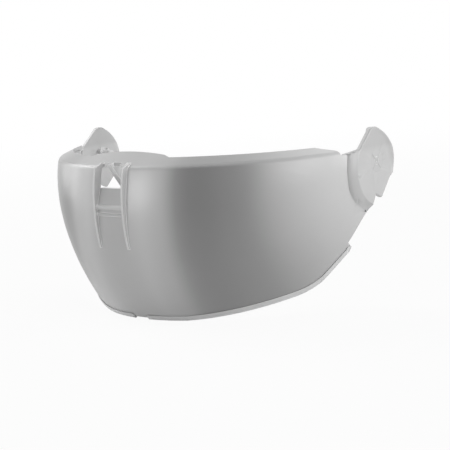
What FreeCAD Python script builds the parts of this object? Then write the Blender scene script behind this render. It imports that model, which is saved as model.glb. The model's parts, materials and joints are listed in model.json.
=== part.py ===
import FreeCAD, Part
import math
import os
import Sketcher
from types import SimpleNamespace
from FreeCAD import Placement, Rotation, Vector

# Helmet visor: a smoke tinted shell, two lengths of clear edging, and a pivot hub set in each ear.
# Millimetres. X runs across the face, the front looks along -Y, Z is up.
# Every place below is worked out from the pivot line through both ears, with forward and up positive,
# and the finished pieces are then set so that the lowest edge stands on Z = 0.

SIZES = [
    ("ear_span", 217.0, "outer face of one ear to the outer face of the other"),
    ("ear_thick", 2.6, "thickness of the flat ears"),
    ("wall", 2.2, "thickness of the lens and of the brow"),
    ("bevel", 0.6, "bevel round the outer face of the ear"),
    # Lens: five level ellipses, all centred on one line behind the pivots.
    ("fold_rise", 8.1, "pivot line up to the fold between lens and brow"),
    ("fold_spread", 2.5, "fold's half width beyond half the ear span"),
    ("fold_depth", 127.5, "front half depth of the ellipse at the fold"),
    ("upper_drop", 25.0, "fold down to the second ellipse"),
    ("upper_narrowing", 1.0, "second ellipse narrower than the fold, each side"),
    ("upper_swell", 4.0, "second ellipse deeper than the fold"),
    ("middle_drop", 50.0, "fold down to the third ellipse"),
    ("middle_narrowing", 9.5, "third ellipse narrower than the fold, each side"),
    ("middle_swell", 2.5, "third ellipse deeper than the fold"),
    ("lower_drop", 75.0, "fold down to the fourth ellipse"),
    ("lower_narrowing", 20.5, "fourth ellipse narrower than the fold, each side"),
    ("lower_swell", -6.0, "fourth ellipse deeper than the fold, here shallower"),
    ("hem_run", 5.9, "lower edge down to the last ellipse"),
    ("hem_narrowing", 27.0, "last ellipse narrower than the fold, each side"),
    ("hem_swell", -20.5, "last ellipse deeper than the fold, here shallower"),
    # Brow: a sloping ledge turned in from the fold.
    ("brow_slope", 22.8, "angle of the brow above level"),
    ("brow_height", 8.6, "height of the whole slope before it is opened"),
    ("fold_radius", 4.0, "outer rounding of the fold"),
    ("brow_side_width", 8.0, "width of the brow at the sides, in plan"),
    ("brow_front_width", 10.4, "width of the brow at the front, in plan"),
    ("bill_half_width", 25.0, "half width of the wider middle of the brow"),
    ("bill_shoulder", 4.5, "width of the slanted step at each end of that middle"),
    ("bill_set_back", 16.8, "front of the fold back to the inner edge of that middle"),
    ("brow_end_front", 35.8, "forward place where the brow starts to run out"),
    ("brow_end_inset", 20.0, "half width of the fold in to that place"),
    ("brow_end_back", 28.6, "forward place where the brow has run out into the lens"),
    ("brow_end_outer_inset", 11.4, "half width of the fold in to that place"),
    ("brow_end_drop", 1.6, "fold down to the top of the wall behind the brow"),
    # Side outline of the lens, behind and below.
    ("shoulder_front", 28.8, "forward place where the brow meets the rear of the lens"),
    ("rear_top_front", 6.4, "forward place of the top of the rear edge"),
    ("rear_top_drop", 28.4, "drop of the top of the rear edge"),
    ("rear_low_front", 14.4, "forward place of the foot of the rear edge"),
    ("rear_low_lift", 35.4, "lowest edge up to the foot of the rear edge"),
    ("tail_front", 11.7, "forward place of the tip of the rounded tail"),
    ("tail_lift", 31.4, "lowest edge up to the tip of the tail"),
    ("tail_foot_front", 13.4, "forward place where the tail runs into the lower edge"),
    ("tail_foot_lift", 28.8, "lowest edge up to that place"),
    ("jaw_back_front", 25.2, "forward place where the lower rear corner starts"),
    ("jaw_back_lift", 15.4, "lowest edge up to that place"),
    ("jaw_middle_front", 31.2, "forward place of the middle of that corner"),
    ("jaw_middle_lift", 11.8, "lowest edge up to that place"),
    ("jaw_front", 39.8, "forward place where that corner ends"),
    ("jaw_lift", 8.9, "lowest edge up to that place"),
    ("hem_set_back", 22.1, "front of the fold back to where the lower edge turns level"),
    ("lens_drop", 82.0, "drop of the level front of the lower edge"),
    # Ear outline, about the pivot.
    ("ear_root_front", 17.6, "forward place where the front edge of the ear starts"),
    ("ear_root_rise", 8.5, "rise of that place"),
    ("ear_neck_front", 25.5, "forward place of the neck between brow and ear"),
    ("ear_neck_rise", 6.5, "rise of the neck"),
    ("ear_crown_front", 5.0, "forward end of the rounded top"),
    ("ear_crown_rise", 18.8, "rise of that end"),
    ("ear_top_front", 1.0, "forward place of the highest point"),
    ("ear_top_rise", 19.7, "rise of the highest point"),
    ("ear_crown_back", 4.6, "rear end of the rounded top, behind the pivot"),
    ("ear_crown_back_rise", 17.9, "rise of that end"),
    ("ear_brow_back", 11.7, "rear shoulder of the ear, behind the pivot"),
    ("ear_brow_rise", 13.2, "rise of that shoulder"),
    ("ear_cheek_back", 16.7, "upper end of the rounded back, behind the pivot"),
    ("ear_cheek_rise", 7.2, "rise of that end"),
    ("ear_back", 18.6, "furthest point behind the pivot"),
    ("ear_back_drop", 1.0, "drop of that point"),
    ("ear_heel_back", 17.2, "lower end of the rounded back, behind the pivot"),
    ("ear_heel_drop", 8.8, "drop of that end"),
    ("ear_toe_back", 3.0, "lower corner of the ear, behind the pivot"),
    ("ear_toe_drop", 22.0, "drop of that corner"),
    ("notch_back_front", 0.8, "rear lip of the notch, ahead of the pivot"),
    ("notch_back_drop", 20.2, "drop of the rear lip"),
    ("notch_top_front", 3.1, "forward place of the top of the notch"),
    ("notch_top_drop", 19.1, "drop of the top of the notch"),
    ("notch_foot_front", 4.4, "forward place of the foot of the notch"),
    ("notch_foot_drop", 21.8, "drop of the foot of the notch"),
    ("notch_end_front", 6.2, "forward place where the step below the ear ends"),
    ("notch_end_drop", 24.8, "drop of that place"),
    # Rear of the ear, bent outwards along an arc.
    ("flare_front", 18.0, "forward place of the centre of that arc"),
    ("flare_drop", 8.0, "drop of that centre"),
    ("flare_radius", 33.3, "radius of the arc"),
    ("flare_width", 6.0, "width of the bent strip, past the edge of the ear"),
    ("flare_lift", 1.8, "how far the strip would stand out at its full width"),
    # Step between lens and ear: a shallow cone.
    ("dish_back", 1.5, "axis of the cone behind the pivot"),
    ("dish_drop", 3.2, "drop of that axis"),
    ("dish_inner_radius", 22.5, "radius where the ear turns flat"),
    ("dish_run", 3.9, "width of the sloping step, on the radius"),
    ("dish_lap", 1.7, "how far the step laps into the wall of the lens"),
    # Fins, window and brim catch in the middle of the front.
    ("fin_gap", 19.8, "clear width between the two fins"),
    ("fin_thick", 1.2, "thickness of a fin"),
    ("fin_stand", 6.1, "proudest point of a fin ahead of the fold"),
    ("fin_apex_drop", 14.6, "drop of that point"),
    ("fin_shoulder_stand", 3.4, "upper corner of a fin ahead of the fold"),
    ("fin_shoulder_rise", 7.8, "rise of the upper corner"),
    ("fin_top_set_back", 2.9, "rear end of the sloping top behind the fold"),
    ("fin_top_rise", 10.4, "rise of that end"),
    ("fin_tip_stand", 3.6, "lower tip of a fin ahead of the fold"),
    ("fin_tip_drop", 37.7, "drop of the lower tip"),
    ("window_sill_drop", 3.8, "drop of the lower edge of the window"),
    ("window_top_set_back", 5.2, "window's edge in the brow behind the fold"),
    ("scoop_drop", 14.2, "drop of the crease below the window"),
    ("scoop_set_back", 2.4, "how far the panel leans in at the window"),
    ("bar_height", 2.6, "height of the bar along the crease"),
    ("bar_proud", 0.9, "how far the bar stands out of the lens"),
    ("rib_drop", 4.0, "bar down to the thin rib below it"),
    ("rib_height", 1.2, "height of that rib"),
    ("rib_proud", 0.5, "how far the rib stands out of the lens"),
    ("prong_gap", 6.3, "clear width between the two prongs of the catch"),
    ("prong_width", 3.9, "width of a prong"),
    ("prong_depth", 5.6, "depth of a prong, square to its length"),
    ("prong_root_set_back", 2.3, "upper end of a prong behind the fold"),
    ("prong_root_rise", 9.8, "rise of the upper end"),
    ("prong_tip_set_back", 14.0, "lower end of a prong behind the fold"),
    ("prong_tip_drop", 5.5, "drop of the lower end"),
    # Clear edging along the lower edge.
    ("edging_cheek", 0.5, "thickness of the cheeks of the edging"),
    ("edging_floor", 0.9, "thickness of its floor"),
    ("edging_height", 2.6, "height of its cheeks above the edge of the lens"),
    ("edging_play", 0.05, "gap between edging and lens"),
    ("edging_end_lift", 33.0, "lowest edge up to its upper end, on the tail"),
    ("edging_gap", 10.0, "gap between both lengths in the middle of the front"),
    # Pivot hub, washer and star retainer.
    ("stem_radius", 2.6, "stem of the hub, in the bore of the ear"),
    ("stem_play", 0.05, "running clearance of the stem, on the radius"),
    ("star_reach", 6.2, "reach of the four arms of hub and retainer"),
    ("star_arm_width", 2.2, "width of an arm"),
    ("star_hub_radius", 4.4, "round middle of both stars"),
    ("star_thick", 0.7, "thickness of the outer star"),
    ("star_recess_play", 0.5, "play round the outer star in its recess"),
    ("star_press", 0.01, "gap between stem and outer star, on the radius"),
    ("dimple_radius", 0.8, "radius of the dimple in the end of the stem"),
    ("dimple_depth", 0.6, "depth of the dimple"),
    ("washer_radius", 6.2, "outer radius of the friction washer"),
    ("washer_thick", 0.5, "thickness of the friction washer"),
    ("flange_thick", 1.8, "thickness of the star flange of the hub"),
    ("spigot_radius", 4.0, "radius of the spigot that plugs into the helmet"),
    ("spigot_length", 6.0, "length of the spigot"),
    ("snap_groove_width", 0.9, "width of the snap groove in the spigot"),
    ("snap_groove_depth", 0.5, "depth of the snap groove"),
    ("snap_land", 1.2, "land between snap groove and tip"),
    ("tip_chamfer", 0.5, "chamfer at the tip of the spigot"),
    ("overrun", 5.0, "how far every cut runs past the solid"),
]

FULL_TURN = 360.0
HALF_TURN = 180.0
STAR_SLANT = 45.0
STAR_ARMS = 4
PIVOT = Vector()

# Shares of the sizes that they follow.
BOW_SHARE = 0.1639
RIM_SHARE = 0.8
STEP_SHARE = 0.33
LAP_SHARE = 0.5

# How an outline is set off: its corners rounded, or its lines drawn out until they meet.
ROUND_CORNERS = 0
SHARP_CORNERS = 1

# What a sketch is drawn with before the sheet sets its sizes.
FIRST_DRAWN = 1.0


def make_sheet(doc):
    """Write the driving sizes into a spreadsheet, one aliased cell each."""
    sheet = doc.addObject("Spreadsheet::Sheet", "Sizes")
    for row, (name, value, note) in enumerate(SIZES, start=1):
        sheet.set(f"A{row}", name)
        sheet.set(f"B{row}", str(value))
        sheet.setAlias(f"B{row}", name)
        sheet.set(f"C{row}", note)
    doc.recompute()
    return sheet


def read_sizes(sheet):
    """Return the sheet's numbers, and the places that follow them, as attributes."""
    d = SimpleNamespace(**{name: float(sheet.get(name)) for name, _, _ in SIZES})
    follow_ears(d)
    follow_front(d)
    follow_dish(d)
    follow_lowest_edge(d)
    return d


def follow_ears(d):
    """Work out what moves with the distance between the ears."""
    d.fold_half_width = d.ear_span / 2 + d.fold_spread
    d.upper_half_width = d.fold_half_width - d.upper_narrowing
    d.middle_half_width = d.fold_half_width - d.middle_narrowing
    d.lower_half_width = d.fold_half_width - d.lower_narrowing
    d.hem_half_width = d.fold_half_width - d.hem_narrowing
    d.brow_end_half_width = d.fold_half_width - d.brow_end_inset
    d.brow_end_outer = d.fold_half_width - d.brow_end_outer_inset


def follow_front(d):
    """Work out what moves with the depth of the lens."""
    d.bow_back = d.fold_depth * BOW_SHARE
    d.upper_depth = d.fold_depth + d.upper_swell
    d.middle_depth = d.fold_depth + d.middle_swell
    d.lower_depth = d.fold_depth + d.lower_swell
    d.hem_depth = d.fold_depth + d.hem_swell
    front = d.fold_depth - d.bow_back
    d.bill_reach = front - d.bill_set_back
    d.hem_front = front - d.hem_set_back
    d.fin_reach = front + d.fin_stand
    d.fin_shoulder_front = front + d.fin_shoulder_stand
    d.fin_top_front = front - d.fin_top_set_back
    d.fin_tip_front = front + d.fin_tip_stand
    d.window_top_front = front - d.window_top_set_back
    d.prong_root_front = front - d.prong_root_set_back
    d.prong_tip_front = front - d.prong_tip_set_back


def follow_dish(d):
    """Work out the step round the ear, so that its rim lands on the outer face of the lens."""
    d.dish_outer_radius = d.dish_inner_radius + d.dish_run
    ahead = d.dish_outer_radius + d.dish_lap - d.dish_back + d.bow_back
    lens_face = d.fold_half_width * math.sqrt(1 - (ahead / d.fold_depth) ** 2)
    fall = d.ear_span / 2 - lens_face
    d.dish_depth = fall * d.dish_run / (d.dish_run + d.dish_lap)


def follow_lowest_edge(d):
    """Work out what moves with the height of the lens."""
    d.hem_drop = d.fold_rise + d.lens_drop + d.hem_run
    d.rear_low_drop = d.lens_drop - d.rear_low_lift
    d.tail_drop = d.lens_drop - d.tail_lift
    d.tail_foot_drop = d.lens_drop - d.tail_foot_lift
    d.jaw_back_drop = d.lens_drop - d.jaw_back_lift
    d.jaw_middle_drop = d.lens_drop - d.jaw_middle_lift
    d.jaw_drop = d.lens_drop - d.jaw_lift
    d.edging_end_drop = d.lens_drop - d.edging_end_lift


def spot(ahead, up, across=0.0):
    """A point given as its distance ahead of the pivot line, above it and across the face."""
    return Vector(across, -ahead, up)


def side_face(steps):
    """A face in the side view from corner points and (through, end) arcs, in order."""
    edges = []
    here = steps[0]
    for step in steps[1:] + [steps[0]]:
        if isinstance(step, tuple):
            through, there = step
            edges.append(Part.Arc(here, through, there).toShape())
        else:
            there = step
            edges.append(Part.LineSegment(here, there).toShape())
        here = there
    return Part.Face(Part.Wire(edges))


def across(face, low, high):
    """Extrude a side face from one place across to another."""
    moved = face.copy()
    moved.translate(Vector(low, 0, 0))
    return moved.extrude(Vector(high - low, 0, 0))


def level_ellipse(d, half_width, depth, up):
    """A closed level ellipse about the centre line, deeper than it is wide."""
    centre = spot(-d.bow_back, up)
    ends = [(depth, centre + Vector(0, -depth, 0)), (half_width, centre + Vector(half_width, 0, 0))]
    ends.sort(key=lambda end: -end[0])
    curve = Part.Ellipse(ends[0][1], ends[1][1], centre)
    return Part.Wire([curve.toShape()])


def fold_offset(d, shrink):
    """How far the fold drops when lens and brow are both drawn in by shrink."""
    slope = math.radians(d.brow_slope)
    return shrink * (1 / math.cos(slope) - math.tan(slope))


def lens_bowl(d, grow, fold_drop=0.0):
    """The solid inside the lens surface alone, grown outwards by grow."""
    levels = [
        (fold_drop, d.fold_half_width, d.fold_depth),
        (d.upper_drop, d.upper_half_width, d.upper_depth),
        (d.middle_drop, d.middle_half_width, d.middle_depth),
        (d.lower_drop, d.lower_half_width, d.lower_depth),
        (d.hem_drop, d.hem_half_width, d.hem_depth),
    ]
    wires = []
    for drop, half_width, depth in levels:
        wires.append(level_ellipse(d, half_width + grow, depth + grow, d.fold_rise - drop))
    return Part.makeLoft(wires, True, False)


def lens_form(d, shrink):
    """The solid inside lens and brow, both drawn in by shrink, with the fold rounded."""
    fold_drop = fold_offset(d, shrink)
    fold_up = d.fold_rise - fold_drop
    run = d.brow_height / math.tan(math.radians(d.brow_slope))
    foot = level_ellipse(d, d.fold_half_width - shrink, d.fold_depth - shrink, fold_up)
    crown = level_ellipse(
        d, d.fold_half_width - shrink - run, d.fold_depth - shrink - run, fold_up + d.brow_height
    )
    brow = Part.makeLoft([foot, crown], True, True)
    form = lens_bowl(d, -shrink, fold_drop).fuse(brow).removeSplitter()
    return form.makeFillet(d.fold_radius - shrink, [fold_edge(d, form, fold_up)])


def fold_edge(d, form, up):
    """The closed edge that runs round the form at the height of the fold."""
    near = d.wall / d.ear_span
    level = [e for e in form.Edges if abs(e.BoundBox.ZMin - up) < near and e.BoundBox.ZLength < near]
    return max(level, key=lambda e: e.Length)


def lens_outline(d):
    """Side view of the lens: brow at the top, straight rear edge, tail, and rounded lower edge."""
    high = d.fold_rise + d.brow_height + d.overrun
    far = d.fin_reach + d.overrun
    corner = (
        spot(d.jaw_middle_front, -d.jaw_middle_drop),
        spot(d.jaw_back_front, -d.jaw_back_drop),
    )
    tail = (
        spot(d.tail_front, -d.tail_drop),
        spot(d.rear_low_front, -d.rear_low_drop),
    )
    return side_face([
        spot(far, high),
        spot(far, -d.lens_drop),
        spot(d.hem_front, -d.lens_drop),
        spot(d.jaw_front, -d.jaw_drop),
        corner,
        spot(d.tail_foot_front, -d.tail_foot_drop),
        tail,
        spot(d.rear_top_front, -d.rear_top_drop),
        spot(d.notch_end_front, -d.notch_end_drop),
        spot(d.dish_inner_radius / 2, -d.dish_inner_radius * RIM_SHARE),
        spot(d.dish_inner_radius, d.ear_neck_rise),
        spot(d.ear_neck_front, d.ear_neck_rise),
        spot(d.shoulder_front, high),
    ])


def brow_opening(d):
    """Plan view of what the brow is open to: everything inside its inner edge and behind its ends."""
    inner = Part.Face(level_ellipse(
        d, d.fold_half_width - d.brow_side_width, d.fold_depth - d.brow_front_width, 0
    ))
    far = d.fold_depth + d.overrun
    wide = d.fold_half_width + d.overrun
    shoulder = d.bill_half_width + d.bill_shoulder
    bill = Part.Face(Part.makePolygon([
        spot(far, 0, -shoulder),
        spot(far, 0, shoulder),
        spot(d.bill_reach + d.bill_shoulder * STEP_SHARE, 0, shoulder),
        spot(d.bill_reach, 0, d.bill_half_width),
        spot(d.bill_reach, 0, -d.bill_half_width),
        spot(d.bill_reach + d.bill_shoulder * STEP_SHARE, 0, -shoulder),
        spot(far, 0, -shoulder),
    ]))
    rear_points = [
        spot(-far, 0, wide),
        spot(d.brow_end_back, 0, wide),
        spot(d.brow_end_back, 0, d.brow_end_outer),
        spot(d.brow_end_front, 0, d.brow_end_half_width),
    ]
    mirrored = [Vector(-p.x, p.y, p.z) for p in reversed(rear_points)]
    rear = Part.Face(Part.makePolygon(rear_points + mirrored + [rear_points[0]]))
    plan = inner.cut(bill).fuse(rear).removeSplitter()
    bottom = d.fold_rise - d.brow_end_drop
    plan.translate(Vector(0, 0, bottom))
    return plan.extrude(Vector(0, 0, d.brow_height * 2 + d.overrun))


def ear_outline(d):
    """Side view of one ear with its neck, the notch at its toe and the lap into the lens."""
    lap = d.dish_outer_radius + d.dish_lap + d.overrun
    return side_face([
        spot(lap, d.ear_neck_rise),
        spot(d.ear_neck_front, d.ear_neck_rise),
        spot(d.ear_root_front, d.ear_root_rise),
        spot(d.ear_crown_front, d.ear_crown_rise),
        (spot(d.ear_top_front, d.ear_top_rise), spot(-d.ear_crown_back, d.ear_crown_back_rise)),
        (spot(-d.ear_brow_back, d.ear_brow_rise), spot(-d.ear_cheek_back, d.ear_cheek_rise)),
        (spot(-d.ear_back, -d.ear_back_drop), spot(-d.ear_heel_back, -d.ear_heel_drop)),
        spot(-d.ear_toe_back, -d.ear_toe_drop),
        spot(d.notch_back_front, -d.notch_back_drop),
        spot(d.notch_top_front, -d.notch_top_drop),
        spot(d.notch_foot_front, -d.notch_foot_drop),
        spot(d.notch_end_front, -d.notch_end_drop),
        spot(d.rear_top_front, -d.rear_top_drop),
        spot(d.rear_top_front, -lap),
        spot(lap, -lap),
    ])


def disc_across(radius, low, high, other_radius=None, centre=PIVOT):
    """A cylinder or a cone about a line across the face, from one place across to another."""
    axis = Vector(1, 0, 0)
    start = centre + Vector(low, 0, 0)
    if other_radius is None:
        return Part.makeCylinder(radius, high - low, start, axis)
    return Part.makeCone(radius, other_radius, high - low, start, axis)


def right_ear(d):
    """The ear on the +X side: a flat plate with the sloping step round it, bored for the hub."""
    face = d.ear_span / 2
    back = face - d.ear_thick
    pitch = d.dish_depth / (d.dish_outer_radius - d.dish_inner_radius)
    rim = d.dish_outer_radius + d.dish_lap
    rim_face = face - (rim - d.dish_inner_radius) * pitch
    inner_flat = d.dish_inner_radius - (d.ear_thick - d.wall)
    rim_back = rim_face - d.wall
    middle = spot(-d.dish_back, -d.dish_drop)
    block = disc_across(rim, rim_face, face, d.dish_inner_radius, middle)
    skirt = disc_across(rim, rim_back - d.overrun, rim_face, centre=middle)
    block = block.fuse(skirt).removeSplitter()
    hollow = disc_across(rim, rim_back, back, inner_flat, middle)
    below = disc_across(rim + d.overrun, rim_back - 2 * d.overrun, rim_back, centre=middle)
    hollow = hollow.fuse(below)
    plate = block.cut(hollow).fuse(flare(d, face)).cut(flare(d, back))
    ear = plate.common(bevelled_outline(d, rim_back - 2 * d.overrun, face))
    ear = ear.cut(disc_across(d.stem_radius + d.stem_play, back - d.overrun, face + d.overrun))
    recess = disc_across(d.star_reach + d.star_recess_play, face - d.star_thick, face + d.overrun)
    return ear.cut(recess)


def flare(d, place):
    """The wedge by which the rear of the ear stands out from a plane at the given place across."""
    wide = d.flare_radius + d.flare_width
    middle = spot(d.flare_front, -d.flare_drop)
    drum = disc_across(wide, place, place + d.flare_lift, centre=middle)
    return drum.cut(disc_across(d.flare_radius, place, place + d.flare_lift, wide, middle))


def bevelled_outline(d, low, face):
    """The ear's outline drawn out across, bevelled up to the outer face but not on the bent strip."""
    outline = ear_outline(d)
    inset = outline.makeOffset2D(-d.bevel, SHARP_CORNERS, False, False)
    foot = outline.OuterWire.copy()
    foot.translate(Vector(face - d.bevel, 0, 0))
    top = inset.OuterWire.copy()
    top.translate(Vector(face, 0, 0))
    bent = across(outline, low, face + d.flare_lift)
    middle = spot(d.flare_front, -d.flare_drop)
    high = face + d.flare_lift + d.overrun
    inside = disc_across(d.flare_radius, low - d.overrun, high, centre=middle)
    plain = across(outline, low, face - d.bevel)
    return plain.fuse([Part.makeLoft([foot, top], True, True), bent.cut(inside)])


def fin(d, side):
    """One of the two upright fins that stand out beside the window."""
    inner = d.fin_gap / 2
    root = d.fin_top_front - d.wall
    face = side_face([
        spot(d.fin_top_front, d.fin_top_rise),
        spot(d.fin_shoulder_front, d.fin_shoulder_rise),
        (spot(d.fin_reach, -d.fin_apex_drop), spot(d.fin_tip_front, -d.fin_tip_drop)),
        spot(root + d.wall, -d.fin_tip_drop),
        spot(root + d.wall, -d.window_sill_drop),
        spot(root, d.fin_top_rise - d.wall),
    ])
    low, high = sorted((side * inner, side * (inner + d.fin_thick)))
    return across(face, low, high)


def lens_front(d, up):
    """How far ahead the middle of the lens lies at a height, by a parabola through three levels."""
    drop = d.fold_rise - up
    levels = ((0.0, d.fold_depth), (d.upper_drop, d.upper_depth), (d.middle_drop, d.middle_depth))
    total = 0.0
    for place, depth in levels:
        share = 1.0
        for other, _ in levels:
            if other != place:
                share *= (drop - other) / (place - other)
        total += depth * share
    return total - d.bow_back


def scoop(d):
    """The panel below the window, leaning in from a bar along the crease, and the rib below it."""
    half = d.fin_gap / 2
    crease = lens_front(d, -d.scoop_drop)
    sill = lens_front(d, -d.window_sill_drop) - d.scoop_set_back
    panel = side_face([
        spot(crease, -d.scoop_drop),
        spot(sill, -d.window_sill_drop),
        spot(sill - d.wall, -d.window_sill_drop),
        spot(crease - d.wall, -d.scoop_drop - d.wall),
    ])
    bar = ridge(d, d.scoop_drop, d.bar_height, d.bar_proud)
    rib = ridge(d, d.scoop_drop + d.rib_drop, d.rib_height, d.rib_proud)
    return [across(face, -half, half) for face in (panel, bar, rib)]


def ridge(d, drop, height, proud):
    """Side view of a rounded ridge that stands out of the middle of the lens."""
    front = lens_front(d, -drop)
    root = front - d.wall / 2
    foot = spot(root, -drop - height / 2)
    return side_face([spot(root, -drop + height / 2), (spot(front + proud, -drop), foot)])


def prong(d, side):
    """One prong of the brim catch, sloping down and in from the front edge of the brow."""
    root = spot(d.prong_root_front, d.prong_root_rise)
    tip = spot(d.prong_tip_front, -d.prong_tip_drop)
    along = (tip - root).normalize()
    square = Vector(0, -along.z, along.y)
    back = square * d.prong_depth
    face = side_face([root, tip, tip + back, root + back])
    inner = d.prong_gap / 2
    low, high = sorted((side * inner, side * (inner + d.prong_width)))
    return across(face, low, high)


def shell_shape(d):
    """The whole moulding in one solid: lens, brow, ears, fins, panel and brim catch."""
    form = lens_form(d, 0.0)
    hollow = lens_form(d, d.wall)
    half = d.ear_span
    shell = form.cut(hollow).common(across(lens_outline(d), -half, half))
    shell = shell.cut(brow_opening(d))
    rim = d.dish_outer_radius + d.dish_lap * LAP_SHARE
    dish = disc_across(rim, -half, half, centre=spot(-d.dish_back, -d.dish_drop))
    shell = shell.cut(dish)
    shell = shell.cut(window_block(d))
    ear = right_ear(d)
    pieces = [ear, ear.mirror(Vector(), Vector(1, 0, 0))] + scoop(d)
    for side in (1, -1):
        pieces.append(fin(d, side).cut(hollow))
        pieces.append(prong(d, side).common(form))
    return shell.fuse(pieces)


def window_block(d):
    """What the window and the panel below it take out of lens and brow."""
    corner = Vector(-d.fin_gap / 2, -d.fin_reach - d.overrun, -d.scoop_drop)
    depth = d.fin_reach + d.overrun - d.window_top_front
    height = d.scoop_drop + d.fold_rise + d.brow_height + d.overrun
    return Part.makeBox(d.fin_gap, depth, height, corner)


def edging_shape(d, side):
    """One length of clear channel, pressed over the lower edge from the middle out to the tail."""
    outline = lens_outline(d)
    half = d.ear_span
    cheek = d.edging_play + d.edging_cheek
    reach = outline.makeOffset2D(d.edging_play + d.edging_floor, ROUND_CORNERS, False, False)
    above = outline.makeOffset2D(-d.edging_height, ROUND_CORNERS, False, False)
    strip = across(reach, -half, half).cut(across(above, -half, half))
    skin = lens_bowl(d, cheek).cut(lens_bowl(d, -d.wall - cheek))
    slot = lens_bowl(d, d.edging_play).cut(lens_bowl(d, -d.wall - d.edging_play))
    seat = outline.makeOffset2D(d.edging_play, ROUND_CORNERS, False, False)
    slot = slot.common(across(seat, -half, half))
    low = -d.hem_drop - d.overrun
    height = -d.edging_end_drop - low
    start = Vector(d.edging_gap / 2 if side > 0 else -half, -d.fin_reach - d.overrun, low)
    zone = Part.makeBox(half - d.edging_gap / 2, d.fin_reach + d.overrun, height, start)
    return skin.common(strip).common(zone).cut(slot)


def plane_of(body, role):
    """One of the body's own origin planes, found by its role."""
    return next(f for f in body.Origin.OriginFeatures if f.Role == role)


def new_sketch(body, name, role, offset=None):
    """A sketch on an origin plane of the body, set off along the normal by an expression."""
    sketch = body.newObject("Sketcher::SketchObject", name)
    sketch.AttachmentSupport = [(plane_of(body, role), "")]
    sketch.MapMode = "FlatFace"
    if offset:
        sketch.setExpression("AttachmentOffset.Base.z", offset)
    return sketch


def draw_circle(sketch, radius_expression):
    """A circle about the sketch's origin, with its radius bound to the sheet."""
    index = sketch.addGeometry(Part.Circle(Vector(), Vector(0, 0, 1), FIRST_DRAWN), False)
    sketch.addConstraint(Sketcher.Constraint("Coincident", index, 3, -1, 1))
    radius = sketch.addConstraint(Sketcher.Constraint("Radius", index, FIRST_DRAWN))
    sketch.setExpression(f"Constraints[{radius}]", radius_expression)


def draw_corners(sketch, corners):
    """A closed outline whose corners are pairs of expressions bound to the sheet."""
    count = len(corners)
    for index in range(count):
        turn = 2 * math.pi * index / count
        turn_next = 2 * math.pi * (index + 1) / count
        start = Vector(math.cos(turn), math.sin(turn), 0)
        end = Vector(math.cos(turn_next), math.sin(turn_next), 0)
        sketch.addGeometry(Part.LineSegment(start, end), False)
    for index, (across_text, up_text) in enumerate(corners):
        sketch.addConstraint(Sketcher.Constraint("Coincident", index, 2, (index + 1) % count, 1))
        for kind, text in (("DistanceX", across_text), ("DistanceY", up_text)):
            distance = Sketcher.Constraint(kind, -1, 1, index, 1, FIRST_DRAWN)
            place = sketch.addConstraint(distance)
            sketch.setExpression(f"Constraints[{place}]", text)


def add_pad(body, sketch, name, length):
    """Pad a sketch towards -X by a length bound to the sheet."""
    pad = body.newObject("PartDesign::Pad", name)
    pad.Profile = sketch
    pad.Reversed = True
    pad.setExpression("Length", length)
    return pad


def add_arms(doc, body, offset, length):
    """Four arms of a star, as one padded arm turned round the axis."""
    sketch = new_sketch(body, "ArmSketch", "YZ_Plane", offset)
    half = "Sizes.star_arm_width / 2"
    draw_corners(sketch, [
        ("0", f"-{half}"),
        ("Sizes.star_reach", f"-{half}"),
        ("Sizes.star_reach", half),
        ("0", half),
    ])
    arm = add_pad(body, sketch, "Arm", length)
    doc.recompute()
    star = body.newObject("PartDesign::PolarPattern", "Arms")
    star.Originals = [arm]
    star.Axis = (plane_of(body, "X_Axis"), [""])
    star.Angle = FULL_TURN
    star.Occurrences = STAR_ARMS
    body.Tip = star
    return star


def hub_body(doc, name):
    """The pivot hub, turned about X: stem through the ear, star flange and snap-in spigot."""
    body = doc.addObject("PartDesign::Body", name)
    sketch = new_sketch(body, "TurnedSketch", "XY_Plane")
    back = "(Sizes.ear_thick + Sizes.washer_thick)"
    seat = f"({back} + Sizes.flange_thick)"
    tip = f"({seat} + Sizes.spigot_length)"
    groove = f"({tip} - Sizes.snap_land)"
    groove_end = f"({groove} - Sizes.snap_groove_width)"
    throat = "Sizes.spigot_radius - Sizes.snap_groove_depth"
    draw_corners(sketch, [
        ("-Sizes.dimple_depth", "0"),
        ("0", "Sizes.dimple_radius"),
        ("0", "Sizes.stem_radius"),
        (f"-{back}", "Sizes.stem_radius"),
        (f"-{back}", "Sizes.star_hub_radius"),
        (f"-{seat}", "Sizes.star_hub_radius"),
        (f"-{seat}", "Sizes.spigot_radius"),
        (f"-{groove_end}", "Sizes.spigot_radius"),
        (f"-{groove_end}", throat),
        (f"-{groove}", throat),
        (f"-{groove}", "Sizes.spigot_radius"),
        (f"-({tip} - Sizes.tip_chamfer)", "Sizes.spigot_radius"),
        (f"-{tip}", "Sizes.spigot_radius - Sizes.tip_chamfer"),
        (f"-{tip}", "0"),
    ])
    turned = body.newObject("PartDesign::Revolution", "Turned")
    turned.Profile = sketch
    turned.ReferenceAxis = (sketch, ["H_Axis"])
    turned.Angle = FULL_TURN
    doc.recompute()
    add_arms(doc, body, f"-{back}", "Sizes.flange_thick")
    return body


def star_body(doc, name):
    """The outer star that holds the stem of the hub in the ear."""
    body = doc.addObject("PartDesign::Body", name)
    middle = new_sketch(body, "MiddleSketch", "YZ_Plane")
    draw_circle(middle, "Sizes.star_hub_radius")
    add_pad(body, middle, "Middle", "Sizes.star_thick")
    doc.recompute()
    add_arms(doc, body, "0", "Sizes.star_thick")
    doc.recompute()
    bore_sketch = new_sketch(body, "BoreSketch", "YZ_Plane")
    draw_circle(bore_sketch, "Sizes.stem_radius + Sizes.star_press")
    bore = body.newObject("PartDesign::Pocket", "Bore")
    bore.Profile = bore_sketch
    bore.Type = "ThroughAll"
    bore.Midplane = True
    body.Tip = bore
    return body


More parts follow.
